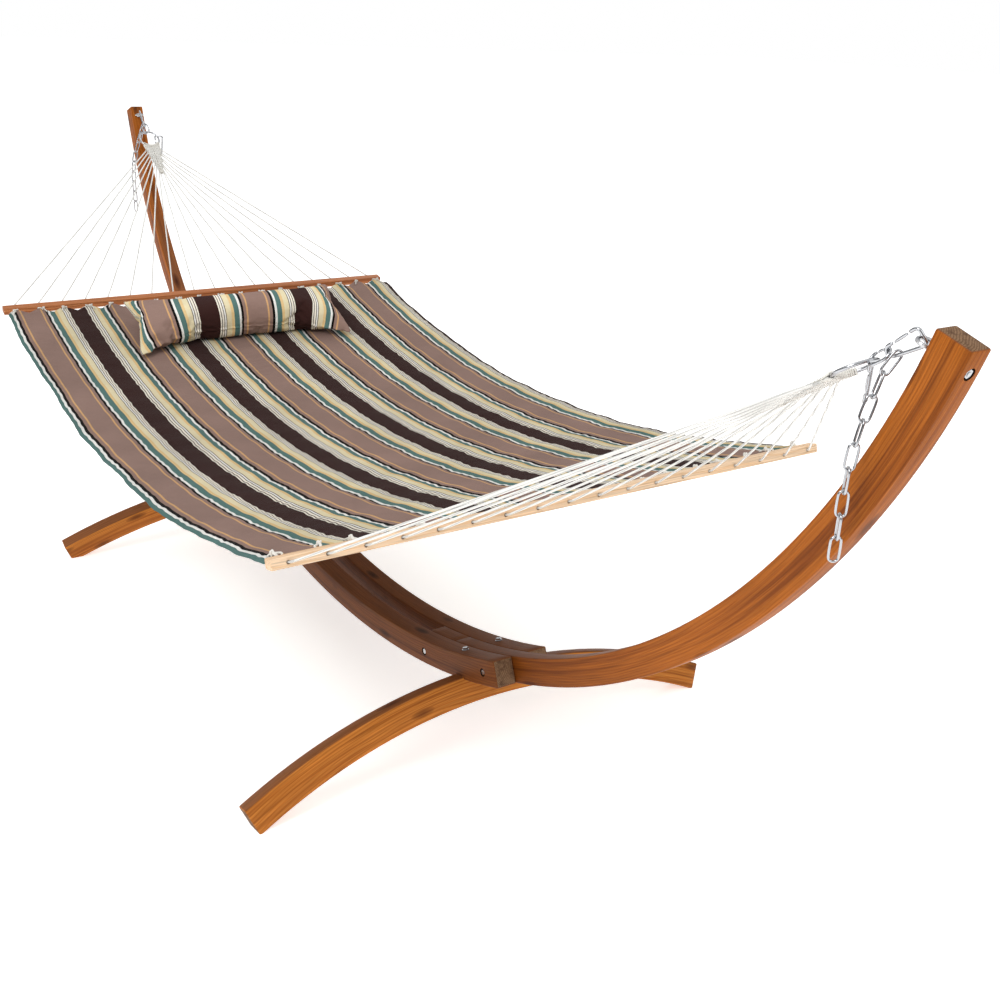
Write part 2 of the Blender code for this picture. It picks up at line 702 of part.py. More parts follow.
def build_pillow():
    """The bolster pillow, lying on the bed beside the head bar."""
    x = HEAD_BAR[0] + HEM_GAP + PILLOW_FROM_HEM
    slope = math.atan(2 * SLING_CURVE * (x - SLING_LOW[0]))
    bpy.ops.mesh.primitive_uv_sphere_add(segments=16, ring_count=10, radius=1.0)
    pillow = bpy.context.object
    for vert in pillow.data.vertices:
        u = vert.co.z
        round_share = (1 - abs(u) ** 5) ** 0.25 if abs(u) < 1 else 0.0
        ring = math.hypot(vert.co.x, vert.co.y)
        scale = round_share / ring if ring > 1e-6 else 0.0
        vert.co = (vert.co.x * scale * PILLOW_HALF_DEPTH, u * PILLOW_HALF,
                   vert.co.y * scale * PILLOW_HALF_HEIGHT)
    pillow.data.flip_normals()
    lift = SLING_THICKNESS / 2 + PILLOW_HALF_HEIGHT + 0.003
    pillow.location = (x - math.sin(slope) * lift, PILLOW_SHIFT,
                       bed_height(x) + math.cos(slope) * lift)
    pillow.rotation_euler = (0.0, -slope, 0.0)
    adopt(pillow, "pillow", "striped_fabric")


def shade():
    """Smooth the round pieces, with sharp edges kept."""
    for piece in PARTS.objects:
        if piece.type == "MESH":
            piece.data.shade_smooth()
            piece.data.set_sharp_from_angle(angle=math.radians(40))


build_stand()
for end_name, end_side, end_bar in ENDS:
    rope_pull = pull_direction(end_side, end_bar)
    end_ring = build_hardware(end_name, end_side, end_bar)
    build_bar(end_name, end_side, end_bar)
    build_clew(end_name, end_side, end_bar, end_ring)
build_bed()
build_pillow()
shade()
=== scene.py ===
"""Looks for the quilted two-person hammock on its curved timber stand.

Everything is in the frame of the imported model: metres, +X towards the foot
end of the hammock, +Z up.
"""
import json
import math

import bmesh
import bpy
import numpy as np
from mathutils import Matrix, Vector


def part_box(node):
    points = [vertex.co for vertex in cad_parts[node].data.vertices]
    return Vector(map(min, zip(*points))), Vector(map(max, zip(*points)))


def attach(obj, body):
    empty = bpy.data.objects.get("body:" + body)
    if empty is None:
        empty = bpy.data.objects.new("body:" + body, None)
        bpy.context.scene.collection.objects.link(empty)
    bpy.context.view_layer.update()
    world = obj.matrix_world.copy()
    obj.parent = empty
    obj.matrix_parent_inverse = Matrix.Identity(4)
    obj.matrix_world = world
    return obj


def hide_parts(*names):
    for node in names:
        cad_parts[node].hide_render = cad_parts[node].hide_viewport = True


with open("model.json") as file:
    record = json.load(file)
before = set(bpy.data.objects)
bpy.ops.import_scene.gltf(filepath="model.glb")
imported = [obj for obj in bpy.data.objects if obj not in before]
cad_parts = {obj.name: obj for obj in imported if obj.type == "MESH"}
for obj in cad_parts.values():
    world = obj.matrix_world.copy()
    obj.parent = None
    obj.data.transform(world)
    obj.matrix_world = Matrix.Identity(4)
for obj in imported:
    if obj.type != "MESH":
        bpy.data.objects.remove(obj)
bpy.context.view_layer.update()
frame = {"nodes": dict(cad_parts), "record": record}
NODES = frame["nodes"]
BODY_OF = {node: body for body, members in
           frame["record"]["behaviour"]["bodies"].items() for node in members}
ENDS = (("foot", 1), ("head", -1))      # each end's name and its side along X


def new_object(name, data):
    item = bpy.data.objects.new(name, data)
    bpy.context.scene.collection.objects.link(item)
    return item


# ---- camera
camera_data = bpy.data.cameras.new("camera")
camera_data.sensor_width = 36.0
camera_data.lens = 41.8
camera_data.clip_end = 300.0
camera = new_object("camera", camera_data)
eye = (2.9134, -1.4095, 1.7321)
yaw, pitch, roll = 0.9836, -0.3918, 0.044
forward = Vector((-math.sin(yaw) * math.cos(pitch), math.cos(yaw) * math.cos(pitch),
                  math.sin(pitch)))
level = Vector((math.cos(yaw), math.sin(yaw), 0.0))
above = level.cross(forward)
right = math.cos(roll) * level + math.sin(roll) * above
upward = math.cos(roll) * above - math.sin(roll) * level
camera.matrix_world = (Matrix.Translation(eye)
                       @ Matrix((right, upward, -forward)).transposed().to_4x4())
bpy.context.scene.camera = camera
bpy.context.scene.view_settings.view_transform = "Standard"

# ---- shared dimensions
# The middle line of the long timbers lies in the plane Y = 0. These are its
# curvature at mid-span, how fast that grows along it, its lowest height, and
# the arc from mid-span to a beam's tip.
MID_CURVATURE = 0.346
CURVATURE_GROWTH = 0.139
MID_HEIGHT = 0.119
ARC_HALF = 2.463
MEMBER_DEPTH = 0.067
BEAM_WIDTH = 0.045
RAIL_WIDTH = 0.054
RAIL_HALF = 0.945             # arc from mid-span to a rail's end
RAIL_OFFSET = 0.0499          # from the plane Y = 0 to a rail's middle
SPACER_START = 0.530
TONGUE_START = 0.662          # where a beam begins, between the rails
FOOT_X = 0.8264
FOOT_RADIUS = 1.470
FOOT_CREST = 0.181
FOOT_LOWER_ARC = 0.690
FOOT_UPPER_ARC = 0.684
FOOT_WIDTH = 0.044
FOOT_DEPTH = 0.073
FOOT_BOLT_AT = 0.765          # arc from mid-span to the bolts through a foot
EYE_BOLT_AT = ARC_HALF - 0.0385
ARRIS_RADIUS = 0.0032
SHARP_ANGLE = math.radians(38)
BORE_RADIUS = 0.0105
BORE_DEPTH = 0.009

RING_RADIUS = 0.0365
RING_WIRE = 0.0035
WIRE_RADII = (("gate", 0.0026), ("carabiner", 0.00325), ("snap_link", 0.00275),
              ("ring", RING_WIRE), ("chain", 0.0024))
HOLE_COUNT = 18               # holes in a spreader bar, one for each rope
HOLE_SPREAD = 1.34
HOLE_PITCH = HOLE_SPREAD / (HOLE_COUNT - 1)
HOLES = [-HOLE_SPREAD / 2 + HOLE_PITCH * i for i in range(HOLE_COUNT)]
BAR_THICKNESS = 0.030
BAR_LEAN = math.radians(15)
ROPE_RADIUS = 0.0024
ROPE_LAYER = 0.0017           # how far a rope lies off the plane of its fan
CLEW_LENGTH = 0.130
CLEW_HALF = 0.031             # half the clew's width at the ring
CLEW_TIP = 0.007              # and at its tip
CLEW_ROWS = 15
CLEW_CORD = 0.0018
LOOP_CORD = 0.0017

BED_LOW = (-0.106, 0.608)     # (x, z) of the bed's lowest point
BED_CURVE = 0.1325            # half the curvature of its middle line
BED_GRID = (380, 236)
HALF_PADDING = 0.0022         # half the cloth's thickness along a seam
HEM_GAP = 0.026               # from a bar's middle to the cloth
BED_FRONT, BED_BACK = -0.695, 0.722
STRIPE_HALF = 0.1511          # from the middle of a taupe to that of a dark band
STRIPE_CENTRE = -0.0215
PILLOW_CUT = (0.80, 0.345)    # flat length and depth of the pillow's cover
PILLOW_SIZE = (0.280, 0.751, 0.128)
PILLOW_GRID = (48, 112)
PILLOW_STRIPE_HALF = 0.166
PILLOW_STRIPE_CENTRE = 0.048
SWELLING_FRAMES = 26


def tone(red, green, blue, light=1.12):
    """The reflectance that looks like this screen colour in the studio."""
    return tuple((c / 255) ** 2.2 / light for c in (red, green, blue))


# ---- material helpers
def new_material(name):
    material = bpy.data.materials.new(name)
    material.use_nodes = True
    tree = material.node_tree
    return material, tree, tree.nodes["Principled BSDF"]


def put(socket, value):
    """Link a socket to another node's output, or set its value."""
    if isinstance(value, bpy.types.NodeSocket):
        socket.id_data.links.new(value, socket)
    elif value is not None:
        socket.default_value = value


def set_inputs(node, values):
    for name, value in values.items():
        put(node.inputs[name], value)


def calc(tree, operation, first, second=None, third=None):
    node = tree.nodes.new("ShaderNodeMath")
    node.operation = operation
    for socket, value in zip(node.inputs, (first, second, third)):
        put(socket, value)
    return node.outputs[0]


def scaled(tree, vector, scale):
    node = tree.nodes.new("ShaderNodeVectorMath")
    node.operation = "MULTIPLY"
    put(node.inputs[0], vector)
    node.inputs[1].default_value = scale
    return node.outputs[0]


def clamped(tree, value, top):
    """The value, kept between nought and top."""
    return calc(tree, "MINIMUM", calc(tree, "MAXIMUM", value, 0.0), top)


def source(tree, kind, output):
    """An output of a new node that has no inputs to set."""
    return tree.nodes.new(kind).outputs[output]


def attribute(tree, name):
    node = tree.nodes.new("ShaderNodeAttribute")
    node.attribute_name = name
    return node.outputs["Vector"]


def split(tree, vector):
    """The three numbers of a vector."""
    node = tree.nodes.new("ShaderNodeSeparateXYZ")
    put(node.inputs[0], vector)
    return list(node.outputs)


def noise(tree, place, scale, detail=2.0, roughness=0.5, output="Fac"):
    node = tree.nodes.new("ShaderNodeTexNoise")
    set_inputs(node, {"Vector": scaled(tree, place, scale), "Scale": 1.0,
                      "Detail": detail, "Roughness": roughness})
    return node.outputs[output]


def ramp(tree, factor, stops, constant=False):
    node = tree.nodes.new("ShaderNodeValToRGB")
    node.color_ramp.interpolation = "CONSTANT" if constant else "LINEAR"
    elements = node.color_ramp.elements
    while len(elements) < len(stops):
        elements.new(0.5)
    for element, (position, colour) in zip(elements, stops):
        element.position = position
    for element, (position, colour) in zip(elements, stops):
        element.color = (*colour, 1.0)
    put(node.inputs["Fac"], factor)
    return node.outputs["Color"]


def mix(tree, factor, first, second, blend="MIX"):
    node = tree.nodes.new("ShaderNodeMix")
    node.data_type = "RGBA"
    node.blend_type = blend
    put(node.inputs["Factor"], factor)
    put(node.inputs[6], first)
    put(node.inputs[7], second)
    return node.outputs[2]


def grey(tree, value):
    node = tree.nodes.new("ShaderNodeCombineColor")
    for socket in node.inputs:
        put(socket, value)
    return node.outputs[0]


def bump(tree, shader, height, distance, strength):
    node = tree.nodes.new("ShaderNodeBump")
    set_inputs(node, {"Distance": distance, "Strength": strength, "Height": height})
    put(shader.inputs["Normal"], node.outputs["Normal"])


def grain_place(tree, along_y):
    """The (along, depth, width) of a point in a timber.

    It comes from the mesh or, in a straight piece that lies along Y, from
    where the point is.
    """
    if not along_y:
        return attribute(tree, "grain")
    x, y, z = split(tree, source(tree, "ShaderNodeTexCoord", "Object"))
    join = tree.nodes.new("ShaderNodeCombineXYZ")
    for socket, output in zip(join.inputs, (y, z, x)):
        put(socket, output)
    return join.outputs[0]


def growth_rings(tree, place, ring_scale):
    """A number that rises by one at each growth ring, around a wandering pith."""
    wander = 0.060
    drifts = split(tree, noise(tree, place, (1.3, 5.0, 5.0), 3.0, output="Color"))
    axes = split(tree, place)
    depth = calc(tree, "MULTIPLY_ADD", drifts[0], wander, calc(tree, "ADD", axes[1], 0.03))
    width = calc(tree, "MULTIPLY_ADD", drifts[1], wander, calc(tree, "ADD", axes[2], 0.005))
    radius = calc(tree, "SQRT", calc(tree, "ADD", calc(tree, "MULTIPLY", depth, depth),
                                     calc(tree, "MULTIPLY", width, width)))
    ripple = noise(tree, place, (5.0, 45.0, 45.0))
    return calc(tree, "MULTIPLY_ADD", radius, ring_scale,
                calc(tree, "MULTIPLY", ripple, 0.8))


def knot_share(tree, place):
    """How much of a point's colour is that of a knot."""
    reach = 0.21
    cells = tree.nodes.new("ShaderNodeTexVoronoi")
    set_inputs(cells, {"Vector": scaled(tree, place, (5.2, 16.0, 16.0)), "Scale": 1.0})
    knot = calc(tree, "SUBTRACT", 1.0,
                calc(tree, "DIVIDE", cells.outputs["Distance"], reach))
    return calc(tree, "POWER", calc(tree, "MAXIMUM", knot, 0.0), 0.6)


def wood(name, tones, top_face_shade=None, low_darkening=0.0, along_y=False, ring_scale=190.0,
         knots=True, gloss=0.52):
    """Sawn softwood: growth rings in the cross-section, fibres along it.

    tones are the early wood, the late wood and the darkest stain. top_face_shade is
    the colour painted on the faces that look upwards, as painted shade, and
    low_darkening is how much darker a piece gets towards the ground.
    """
    material, tree, shader = new_material(name)
    place = grain_place(tree, along_y)
    early, late, stain = tones
    middle = tuple((a + b) / 2 for a, b in zip(early, late))
    ring = calc(tree, "FRACT", growth_rings(tree, place, ring_scale))
    colour = ramp(tree, ring, [(0.0, middle), (0.15, early), (0.60, early),
                               (0.90, late), (1.0, middle)])
    broad = noise(tree, place, (1.6, 70.0, 70.0), 3.0)
    band = calc(tree, "MULTIPLY", calc(tree, "SUBTRACT", broad, 0.50), 4.0)
    colour = mix(tree, clamped(tree, band, 0.75), colour, (*stain, 1.0))
    # The colour gets darker towards the ground.
    if low_darkening:
        height = split(tree, source(tree, "ShaderNodeNewGeometry", "Position"))[2]
        low = calc(tree, "SUBTRACT", 1.35, calc(tree, "MULTIPLY", height, 2.2))
        colour = mix(tree, calc(tree, "MULTIPLY", clamped(tree, low, 1.0), low_darkening),
                     colour, (*(0.55 * c for c in stain), 1.0))
    # Painted shade: the faces that look upwards are painted darker, for the way the light falls
    # on the tops.
    if top_face_shade:
        facing_up = split(tree, source(tree, "ShaderNodeNewGeometry", "Normal"))[2]
        top_shade_share = calc(tree, "MULTIPLY", calc(tree, "SUBTRACT", facing_up, 0.45), 4.0)
        colour = mix(tree, clamped(tree, top_shade_share, 0.85), colour, (*top_face_shade, 1.0))
    fibre = noise(tree, place, (7.0, 380.0, 380.0), 4.0, 0.6)
    streak = calc(tree, "MULTIPLY_ADD", fibre, 1.8, 0.10)
    colour = mix(tree, 0.8, colour, grey(tree, streak), "MULTIPLY")
    if knots:
        knot_colour = (stain[0] * 0.35, stain[1] * 0.3, stain[2] * 0.3, 1.0)
        colour = mix(tree, knot_share(tree, place), colour, knot_colour)
    set_inputs(shader, {"Base Color": colour, "Roughness": gloss,
                        "Specular IOR Level": 0.13})
    relief = calc(tree, "MULTIPLY_ADD", fibre, 0.6, calc(tree, "MULTIPLY", ring, 0.4))
    bump(tree, shader, relief, distance=0.0006, strength=0.5)
    return material


def metal(name, colour, roughness):
    """Plated steel with faint unevenness in its polish."""
    material, tree, shader = new_material(name)
    place = source(tree, "ShaderNodeTexCoord", "Object")
    marks = noise(tree, place, (260.0, 260.0, 260.0), 3.0)
    dull = (*(c * 0.86 for c in colour), 1.0)
    set_inputs(shader, {
        "Base Color": mix(tree, marks, dull, (*colour, 1.0)), "Metallic": 1.0,
        "Roughness": calc(tree, "MULTIPLY_ADD", marks, 0.16, roughness - 0.06)})
    bump(tree, shader, marks, distance=0.0002, strength=0.25)
    return material


def cord_material(name, colour, twisted):
    """Braided or twisted white cord."""
    material, tree, shader = new_material(name)
    if twisted:
        along, around, _none = split(tree, source(tree, "ShaderNodeTexCoord", "UV"))
        turns = calc(tree, "ADD", calc(tree, "MULTIPLY", along, 110.0),
                     calc(tree, "MULTIPLY", around, 2.0))
        height = calc(tree, "MULTIPLY", calc(tree, "PINGPONG", turns, 0.5), 2.0)
    else:
        place = source(tree, "ShaderNodeTexCoord", "Object")
        height = noise(tree, place, (420.0, 420.0, 420.0))
    # Painted shade: the grooves of the twist, and the low spots of the weave, are painted
    # darker.
    dark = tuple(c * 0.60 for c in colour)
    shade = ramp(tree, height, [(0.0, dark), (0.45, colour), (1.0, colour)])
    set_inputs(shader, {"Base Color": shade, "Roughness": 0.85})
    bump(tree, shader, height, distance=0.0009, strength=0.7)
    return material


# Half a repeat of the striped cloth, from the middle of a taupe band to the
# middle of a dark one.
TAUPE = tone(160, 131, 120)
GOLD = tone(224, 176, 124)
BLACK = tone(20, 12, 12)
WHITE = tone(255, 254, 248)
TEAL = tone(94, 128, 123)
AMBER = tone(242, 208, 150)
STRAW = tone(244, 230, 190)
CREAM = tone(254, 247, 230)
PIN = tone(96, 80, 74)
DARK = tone(60, 37, 34)
STRIPES = [(0.0, TAUPE), (0.200, GOLD), (0.238, TAUPE), (0.300, BLACK), (0.350, WHITE),
           (0.396, TEAL), (0.500, AMBER), (0.556, STRAW), (0.662, PIN), (0.678, WHITE),
           (0.705, PIN), (0.720, CREAM), (0.757, PIN), (0.770, CREAM), (0.800, DARK)]


def striped_cloth(name, half_repeat, centre, painted_lightness):
    """Printed outdoor cloth, woven finely, from the mesh's own coordinates."""
    thread_turns = 5200.0
    material, tree, shader = new_material(name)
    place = attribute(tree, "cloth")
    x, y, _none = split(tree, place)
    across = calc(tree, "DIVIDE", calc(tree, "SUBTRACT", y, centre), half_repeat)
    colour = ramp(tree, calc(tree, "PINGPONG", across, 1.0), STRIPES, constant=True)
    warp = noise(tree, place, (40.0, 1100.0, 1.0))
    weft = noise(tree, place, (1100.0, 40.0, 1.0))
    slub = calc(tree, "ADD", calc(tree, "MULTIPLY", warp, 0.30),
                calc(tree, "MULTIPLY_ADD", weft, 0.50, 0.62))
    colour = mix(tree, 0.8, colour, grey(tree, slub), "MULTIPLY")
    # Random fading, plus a lightness for each copy of the cloth: the bed's copy is painted
    # darker as painted shade, the pillow's lighter as painted light.
    fade = noise(tree, place, (5.0, 5.0, 5.0), 3.0)
    fading_and_shade = calc(tree, "MULTIPLY_ADD", fade, 0.4, painted_lightness)
    colour = mix(tree, 1.0, colour, grey(tree, fading_and_shade), "MULTIPLY")
    set_inputs(shader, {"Base Color": colour, "Roughness": 0.88, "Sheen Weight": 0.03,
                        "Specular IOR Level": 0.12})
    threads = calc(tree, "ADD",
                   calc(tree, "SINE", calc(tree, "MULTIPLY", x, thread_turns)),
                   calc(tree, "SINE", calc(tree, "MULTIPLY", y, thread_turns)))
    crumple = noise(tree, place, (38.0, 20.0, 20.0), 3.0)
    height = calc(tree, "MULTIPLY_ADD", crumple, 6.0, calc(tree, "MULTIPLY", threads, 0.22))
    bump(tree, shader, height, distance=0.0010, strength=0.7)
    return material


LARCH = (tone(172, 97, 35), tone(156, 84, 27), tone(108, 52, 16))
FOOT_LARCH = (tone(200, 124, 54), tone(178, 100, 36), tone(138, 70, 22))
RAIL_LARCH = (tone(128, 76, 40), tone(108, 60, 31), tone(80, 42, 23))
# Painted shade for the faces of the timber that look upwards.
TOP_FACE_SHADE = tone(130, 82, 52)
END_LARCH = (tone(140, 110, 84), tone(104, 76, 56), tone(90, 66, 50))
# Near-black wood for the bores' walls: end grain, darkened further with painted shade inside the
# holes.
BORE_SHADE_LARCH = (tone(46, 26, 18), tone(34, 20, 14), tone(26, 15, 10))
PALE_PINE = (tone(242, 210, 176), tone(232, 192, 150), tone(224, 180, 138))
RED_PINE = (tone(190, 122, 78), tone(160, 92, 54), tone(146, 84, 50))
MATERIALS = {
    "larch": wood("larch", LARCH, top_face_shade=TOP_FACE_SHADE, low_darkening=0.80),
    "foot_larch": wood("foot_larch", FOOT_LARCH, top_face_shade=TOP_FACE_SHADE),
    "rail_larch": wood("rail_larch", RAIL_LARCH, top_face_shade=TOP_FACE_SHADE),
    "end_larch": wood("end_larch", END_LARCH, ring_scale=300.0, knots=False, gloss=0.75),
    "bore_shade_larch": wood("bore_shade_larch", BORE_SHADE_LARCH, knots=False, gloss=0.8),
    "pale_pine": wood("pale_pine", PALE_PINE, along_y=True, ring_scale=220.0,
                      knots=False, gloss=0.5),
    "red_pine": wood("red_pine", RED_PINE, along_y=True, ring_scale=220.0,
                     knots=False, gloss=0.45),
    "chrome": metal("chrome", (0.52, 0.53, 0.55), roughness=0.15),
    "zinc": metal("zinc", (0.56, 0.56, 0.57), roughness=0.22),
    "twisted_cord": cord_material("twisted_cord", tone(250, 249, 244), twisted=True),
    "woven_cord": cord_material("woven_cord", tone(238, 235, 227), twisted=False),
    # The bed's cloth is painted darker and the pillow's lighter, as painted shade and painted
    # light.
    "bed_cloth": striped_cloth("bed_cloth", STRIPE_HALF, STRIPE_CENTRE, painted_lightness=0.64),
    "pillow_cloth": striped_cloth("pillow_cloth", PILLOW_STRIPE_HALF,
                                  PILLOW_STRIPE_CENTRE, painted_lightness=0.94),
}


# ---- mesh helpers
def mesh_object(name, vertices, faces, smooth=True):
    data = bpy.data.meshes.new(name)
    data.from_pydata([tuple(v) for v in vertices], [], faces)
    data.update()
    piece = new_object(name, data)
    if smooth:
        data.shade_smooth()
    return piece


def set_vectors(piece, name, vectors):
    layer = piece.data.attributes.new(name, "FLOAT_VECTOR", "POINT")
    layer.data.foreach_set("vector", np.asarray(vectors, np.float32).ravel())


def rounded_rectangle(half_a, half_b, radius):
    """The outline of a timber, its corners rounded in three steps each."""
    steps = 3
    points = []
    for turn, (a, b) in enumerate(((1, 1), (-1, 1), (-1, -1), (1, -1))):
        for i in range(steps + 1):
            angle = math.pi / 2 * (turn + i / steps)
            points.append((a * (half_a - radius) + radius * math.cos(angle),
                           b * (half_b - radius) + radius * math.sin(angle)))
    return points


def skin(rings, sides):
    """Faces round a row of rings of vertices, and then over its two ends."""
    faces = []
    for i in range(rings - 1):
        for k in range(sides):
            after = (k + 1) % sides
            faces.append((i * sides + k, i * sides + after,
                          (i + 1) * sides + after, (i + 1) * sides + k))
    last = (rings - 1) * sides
    faces.append(tuple(range(sides))[::-1])
    faces.append(tuple(range(last, last + sides)))
    return faces


def tube(points, radius, sides):
    """Vertices and faces of a round cord along points, with filled ends."""
    points = [Vector(p) for p in points]
    vertices = []
    side = None
    for i, point in enumerate(points):
        along = (points[min(i + 1, len(points) - 1)] - points[max(i - 1, 0)]).normalized()
        if side is None:
            side = along.orthogonal().normalized()
        side = (side - along * side.dot(along)).normalized()
        other = along.cross(side)
        for k in range(sides):
            angle = 2 * math.pi * k / sides
            vertices.append(point + radius * (math.cos(angle) * side + math.sin(angle) * other))
    return vertices, skin(len(points), sides)


def join_parts(name, parts, material):
    """One mesh object from several (vertices, faces) pairs."""
    vertices, faces = [], []
    for part_vertices, part_faces in parts:
        base = len(vertices)
        vertices += part_vertices
        faces += [tuple(base + i for i in face) for face in part_faces]
    piece = mesh_object(name, vertices, faces)
    piece.data.materials.append(material)
    return piece


def cylinder(start, end, radius):
    """A round bar to cut with."""
    vertices, faces = tube([start, end], radius, 24)
    return mesh_object("cutter", vertices, faces, smooth=False)


def box_solid(low, high):
    """A box to cut with."""
    corners = [(x, y, z) for x in (low[0], high[0]) for y in (low[1], high[1])
               for z in (low[2], high[2])]
    faces = [(0, 1, 3, 2), (4, 6, 7, 5), (0, 4, 5, 1), (2, 3, 7, 6), (0, 2, 6, 4),
             (1, 5, 7, 3)]
    return mesh_object("cutter", corners, faces, smooth=False)


def cut(piece, cutters, bores):
    """Take solids and (start, end) bores out of a mesh and delete the tools."""
    cutters = cutters + [cylinder(start, end, BORE_RADIUS) for start, end in bores]
    for cutter in cutters:
        modifier = piece.modifiers.new("cut", "BOOLEAN")
        modifier.operation = "DIFFERENCE"
        modifier.solver = "EXACT"
        modifier.object = cutter
    bpy.context.view_layer.update()
    graph = bpy.context.evaluated_depsgraph_get()
    solid = bpy.data.meshes.new_from_object(piece.evaluated_get(graph))
    piece.modifiers.clear()
    piece.data = solid
    for cutter in cutters:
        bpy.data.objects.remove(cutter, do_unlink=True)
    # The bores' walls get the near-black wood: end grain with painted shade inside the holes.
    solid.materials.append(MATERIALS["bore_shade_larch"])
    bore_shade_slot = len(solid.materials) - 1
    for face in solid.polygons:
        for start, end in bores:
            along = (Vector(end) - Vector(start)).normalized()
            offsets = [solid.vertices[i].co - Vector(start) for i in face.vertices]
            if all((offset - along * offset.dot(along)).length < BORE_RADIUS * 1.01
                   for offset in offsets):
                face.material_index = bore_shade_slot


def finish_piece(piece, body, nodes=()):
    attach(piece, body)
    if nodes:
        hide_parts(*nodes)


def paint_node(node, material):
    """Show a CAD solid as it is, in a material of its own."""
    NODES[node].data.materials.clear()
    NODES[node].data.materials.append(material)


# ---- the timber
def curve_angle(s):
    """Slope of the timbers' middle line at an arc length from mid-span."""
    return MID_CURVATURE * s + CURVATURE_GROWTH * s * s / 2


def curve_point(s, offset=0.0, side=1):
    """(x, z) at arc length s, moved by offset towards the outer, lower side."""
    reach = abs(s)
    steps = max(4, int(reach / 0.02))
    x, z = 0.0, MID_HEIGHT
    for i in range(steps):
        angle = curve_angle((i + 0.5) * reach / steps)
        x += math.cos(angle) * reach / steps
        z += math.sin(angle) * reach / steps
    angle = curve_angle(reach)
    x += math.sin(angle) * offset
    z -= math.cos(angle) * offset
    return (math.copysign(x, s) * side if s else 0.0), z


def outward(s, side):
    """The direction square to the curve, towards its outer, lower side."""
    angle = curve_angle(s)
    return Vector((side * math.sin(angle), 0.0, -math.cos(angle)))


def curve_table():
    """Arc length, x, z and angle every millimetre along the curve."""
    step = 0.001
    s = np.arange(0.0, 2.52, step)
    middle = curve_angle(s[:-1] + step / 2)
    x = np.concatenate([[0.0], np.cumsum(np.cos(middle) * step)])
    z = MID_HEIGHT + np.concatenate([[0.0], np.cumsum(np.sin(middle) * step)])
    angle = curve_angle(s)
    return np.concatenate([[-s[1:][::-1], -x[1:][::-1], z[1:][::-1], -angle[1:][::-1]],
                           [s, x, z, angle]], axis=1)


def arc_grain(side, y_centre, shift):
    """The (along, depth, width) of points in a timber on the curve.

    The shift gives each timber a grain of its own.
    """
    def grain(points):
        s, x, z, angle = curve_table()
        distance = ((points[:, None, 0] * side - x[None]) ** 2
                    + (points[:, None, 2] - z[None]) ** 2)
        near = distance.argmin(axis=1)
        v = ((points[:, 0] * side - x[near]) * np.sin(angle[near])
             - (points[:, 2] - z[near]) * np.cos(angle[near]))
        return np.stack([s[near] + shift[0], v + shift[1],
                         points[:, 1] - y_centre + shift[2]], -1)
    return grain


def foot_grain(side, shift):
    """The (along, depth, width) of points in a leaning cross foot."""
    def grain(points):
        lean = curve_angle(FOOT_BOLT_AT)
        away = points[:, 0] * side - FOOT_X
        height = math.cos(lean) * points[:, 2] - math.sin(lean) * away
        radial = height - (FOOT_CREST - FOOT_RADIUS)
        return np.stack([np.arctan2(points[:, 1], radial) * FOOT_RADIUS + shift[0],
                         np.hypot(points[:, 1], radial) - FOOT_RADIUS + shift[1],
                         math.cos(lean) * away + math.sin(lean) * points[:, 2] + shift[2]], -1)
    return grain


def set_grain(piece, grain):
    points = np.empty(len(piece.data.vertices) * 3, np.float32)
    piece.data.vertices.foreach_get("co", points)
    set_vectors(piece, "grain", grain(points.reshape(-1, 3).astype(float)))


def timber(name, stations, half_width, half_depth, place, material):
    """A timber swept through stations of (arc length, inset of its faces)."""
    vertices = []
    for s, inset in stations:
        outline = rounded_rectangle(half_width - inset, half_depth - inset,
                                    max(ARRIS_RADIUS - inset / 2, 0.0005))
        vertices += [place(s, v, y) for y, v in outline]
    piece = mesh_object(name, vertices, skin(len(stations), len(outline)))
    work = bmesh.new()
    work.from_mesh(piece.data)
    bmesh.ops.recalc_face_normals(work, faces=work.faces)
    work.to_mesh(piece.data)
    work.free()
    piece.data.materials.append(material)
    piece.data.materials.append(MATERIALS["end_larch"])
    for end_face in piece.data.polygons[-2:]:
        end_face.material_index = 1
    return piece


def eased(start, end):
    """Stations from start to end, with the arrises at both ends eased."""
    ends = ((0.0, 0.0024), (0.0008, 0.0008), (0.0026, 0.0))
    step = 0.035
    count = max(2, round((end - start) / step))
    middle = [(start + (end - start) * i / count, 0.0) for i in range(1, count)]
    return ([(start + s, inset) for s, inset in ends] + middle
            + [(end - s, inset) for s, inset in reversed(ends)])


def on_arc(side, y_centre=0.0):
    """Where a timber on the curve has its (arc length, depth, width)."""
    def place(s, v, y):
        x, z = curve_point(s, v, side)
        return (x, y + y_centre, z)
    return place


def node_centre(node):
    low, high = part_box(node)
    return (low + high) / 2


def finish_timber(piece, grain, node):
    set_grain(piece, grain)
    piece.data.shade_smooth()
    piece.data.set_sharp_from_angle(angle=SHARP_ANGLE)
    finish_piece(piece, "stand", [node])


